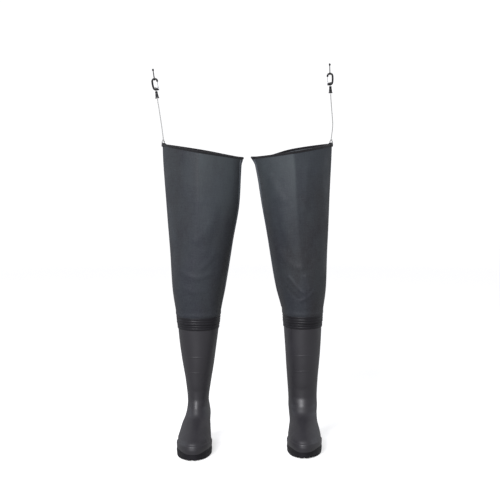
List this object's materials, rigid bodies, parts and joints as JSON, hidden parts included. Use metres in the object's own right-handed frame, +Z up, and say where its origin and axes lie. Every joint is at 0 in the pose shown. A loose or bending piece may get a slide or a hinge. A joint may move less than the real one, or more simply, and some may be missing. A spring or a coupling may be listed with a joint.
{
  "type": "hip waders",
  "caption": "Pair of hip waders: moulded boots with welded leg sleeves, bound slanted rims, and elastic suspender cords ending in swivelling snap hooks.",
  "frame": {"origin": "on the ground under the middle of the pair's bounding box, the soles standing on z = 0", "axes": "+Z up, toes towards -Y, the wearer's left wader at +X and right wader at -X"},
  "size_m": [0.5284, 0.3358, 1.1188],
  "materials": {
    "outsole": "dark, matt moulded sole compound",
    "boot": "satin moulded PVC, dark grey",
    "lining": "knitted lining",
    "insole": "felted insole",
    "collar_band": "satin PVC, ribbed",
    "sleeve": "PVC-coated cloth, satin",
    "seam": "welded PVC tape, satin",
    "binding": "folded woven tape",
    "patch": "welded corner patch",
    "ring": "black coated wire",
    "elastic_cord": "braided elastic cord, pale grey",
    "ferrule": "black moulded plastic",
    "swivel_steel": "turned steel",
    "hook": "black coated, satin",
    "gate_steel": "bright stamped steel",
    "pin_steel": "steel",
    "spring_steel": "spring steel",
    "loop_cord": "black knotted cord"
  },
  "bodies": {
    "sleeves": {"left_sleeve_thigh": "sleeve", "left_sleeve_knee": "sleeve", "left_seam_knee": "seam", "left_seam_thigh": "seam", "left_rim_binding": "binding", "left_corner_patch": "patch", "left_strap_ring": "ring", "left_cord_knot": "elastic_cord", "left_suspender_cord": "elastic_cord", "right_sleeve_thigh": "sleeve", "right_sleeve_knee": "sleeve", "right_seam_knee": "seam", "right_seam_thigh": "seam", "right_rim_binding": "binding", "right_corner_patch": "patch", "right_strap_ring": "ring", "right_cord_knot": "elastic_cord", "right_suspender_cord": "elastic_cord"},
    "left_boot": {"left_outsole": "outsole", "left_heel_cup": "outsole", "left_heel_spur": "boot", "left_boot_shell": "boot", "left_boot_lining": "lining", "left_insole": "insole", "left_collar_band": "collar_band", "left_sleeve_cuff": "sleeve"},
    "left_cord_end": {"left_cord_ferrule": "ferrule", "left_swivel_pin": "swivel_steel"},
    "left_snap_hook": {"left_hook": "hook", "left_gate_pin": "pin_steel", "left_gate_spring": "spring_steel", "left_belt_loop": "loop_cord"},
    "left_gate": {"left_gate": "gate_steel"},
    "right_boot": {"right_outsole": "outsole", "right_heel_cup": "outsole", "right_heel_spur": "boot", "right_boot_shell": "boot", "right_boot_lining": "lining", "right_insole": "insole", "right_collar_band": "collar_band", "right_sleeve_cuff": "sleeve"},
    "right_cord_end": {"right_cord_ferrule": "ferrule", "right_swivel_pin": "swivel_steel"},
    "right_snap_hook": {"right_hook": "hook", "right_gate_pin": "pin_steel", "right_gate_spring": "spring_steel", "right_belt_loop": "loop_cord"},
    "right_gate": {"right_gate": "gate_steel"}
  },
  "joints": [
    {"name": "left_knee", "type": "hinge", "parent": "sleeves", "child": "left_boot", "pos_m": [0.17047, 0.01015, 0.513], "axis": [0.9997, 0.0262, 0], "range_deg": [0, 50], "deforming": ["left_sleeve_knee", "left_seam_knee"]},
    {"name": "left_cord_stretch", "type": "slide", "parent": "sleeves", "child": "left_cord_end", "axis": [-0.0214, -0.0006, 0.9998], "range_m": [0, 0.04], "stiffness_N_per_m": 60, "deforming": ["left_suspender_cord"]},
    {"name": "left_hook_swivel", "type": "hinge", "parent": "left_cord_end", "child": "left_snap_hook", "pos_m": [0.25554, 0.08239, 1.03263], "axis": [-0.0349, -0.0009, 0.9994], "continuous": true},
    {"name": "left_gate_pivot", "type": "hinge", "parent": "left_snap_hook", "child": "left_gate", "pos_m": [0.24719, 0.08217, 1.05986], "axis": [-0.0262, 0.9997, 0], "range_deg": [0, 28], "stiffness_Nm_per_rad": 0.004, "springref_deg": -28.65},
    {"name": "right_knee", "type": "hinge", "parent": "sleeves", "child": "right_boot", "pos_m": [-0.12799, -0.0201, 0.513], "axis": [0.9962, -0.0872, 0], "range_deg": [0, 50], "deforming": ["right_sleeve_knee", "right_seam_knee"]},
    {"name": "right_cord_stretch", "type": "slide", "parent": "sleeves", "child": "right_cord_end", "axis": [-0.1412, 0.0124, 0.9899], "range_m": [0, 0.04], "stiffness_N_per_m": 60, "deforming": ["right_suspender_cord"]},
    {"name": "right_hook_swivel", "type": "hinge", "parent": "right_cord_end", "child": "right_snap_hook", "pos_m": [-0.24685, 0.06056, 1.01777], "axis": [-0.1472, 0.0129, 0.989], "continuous": true},
    {"name": "right_gate_pivot", "type": "hinge", "parent": "right_snap_hook", "child": "right_gate", "pos_m": [-0.24361, 0.06028, 1.04606], "axis": [-0.0872, -0.9962, 0], "range_deg": [0, 28], "stiffness_Nm_per_rad": 0.004, "springref_deg": -28.65}
  ]
}
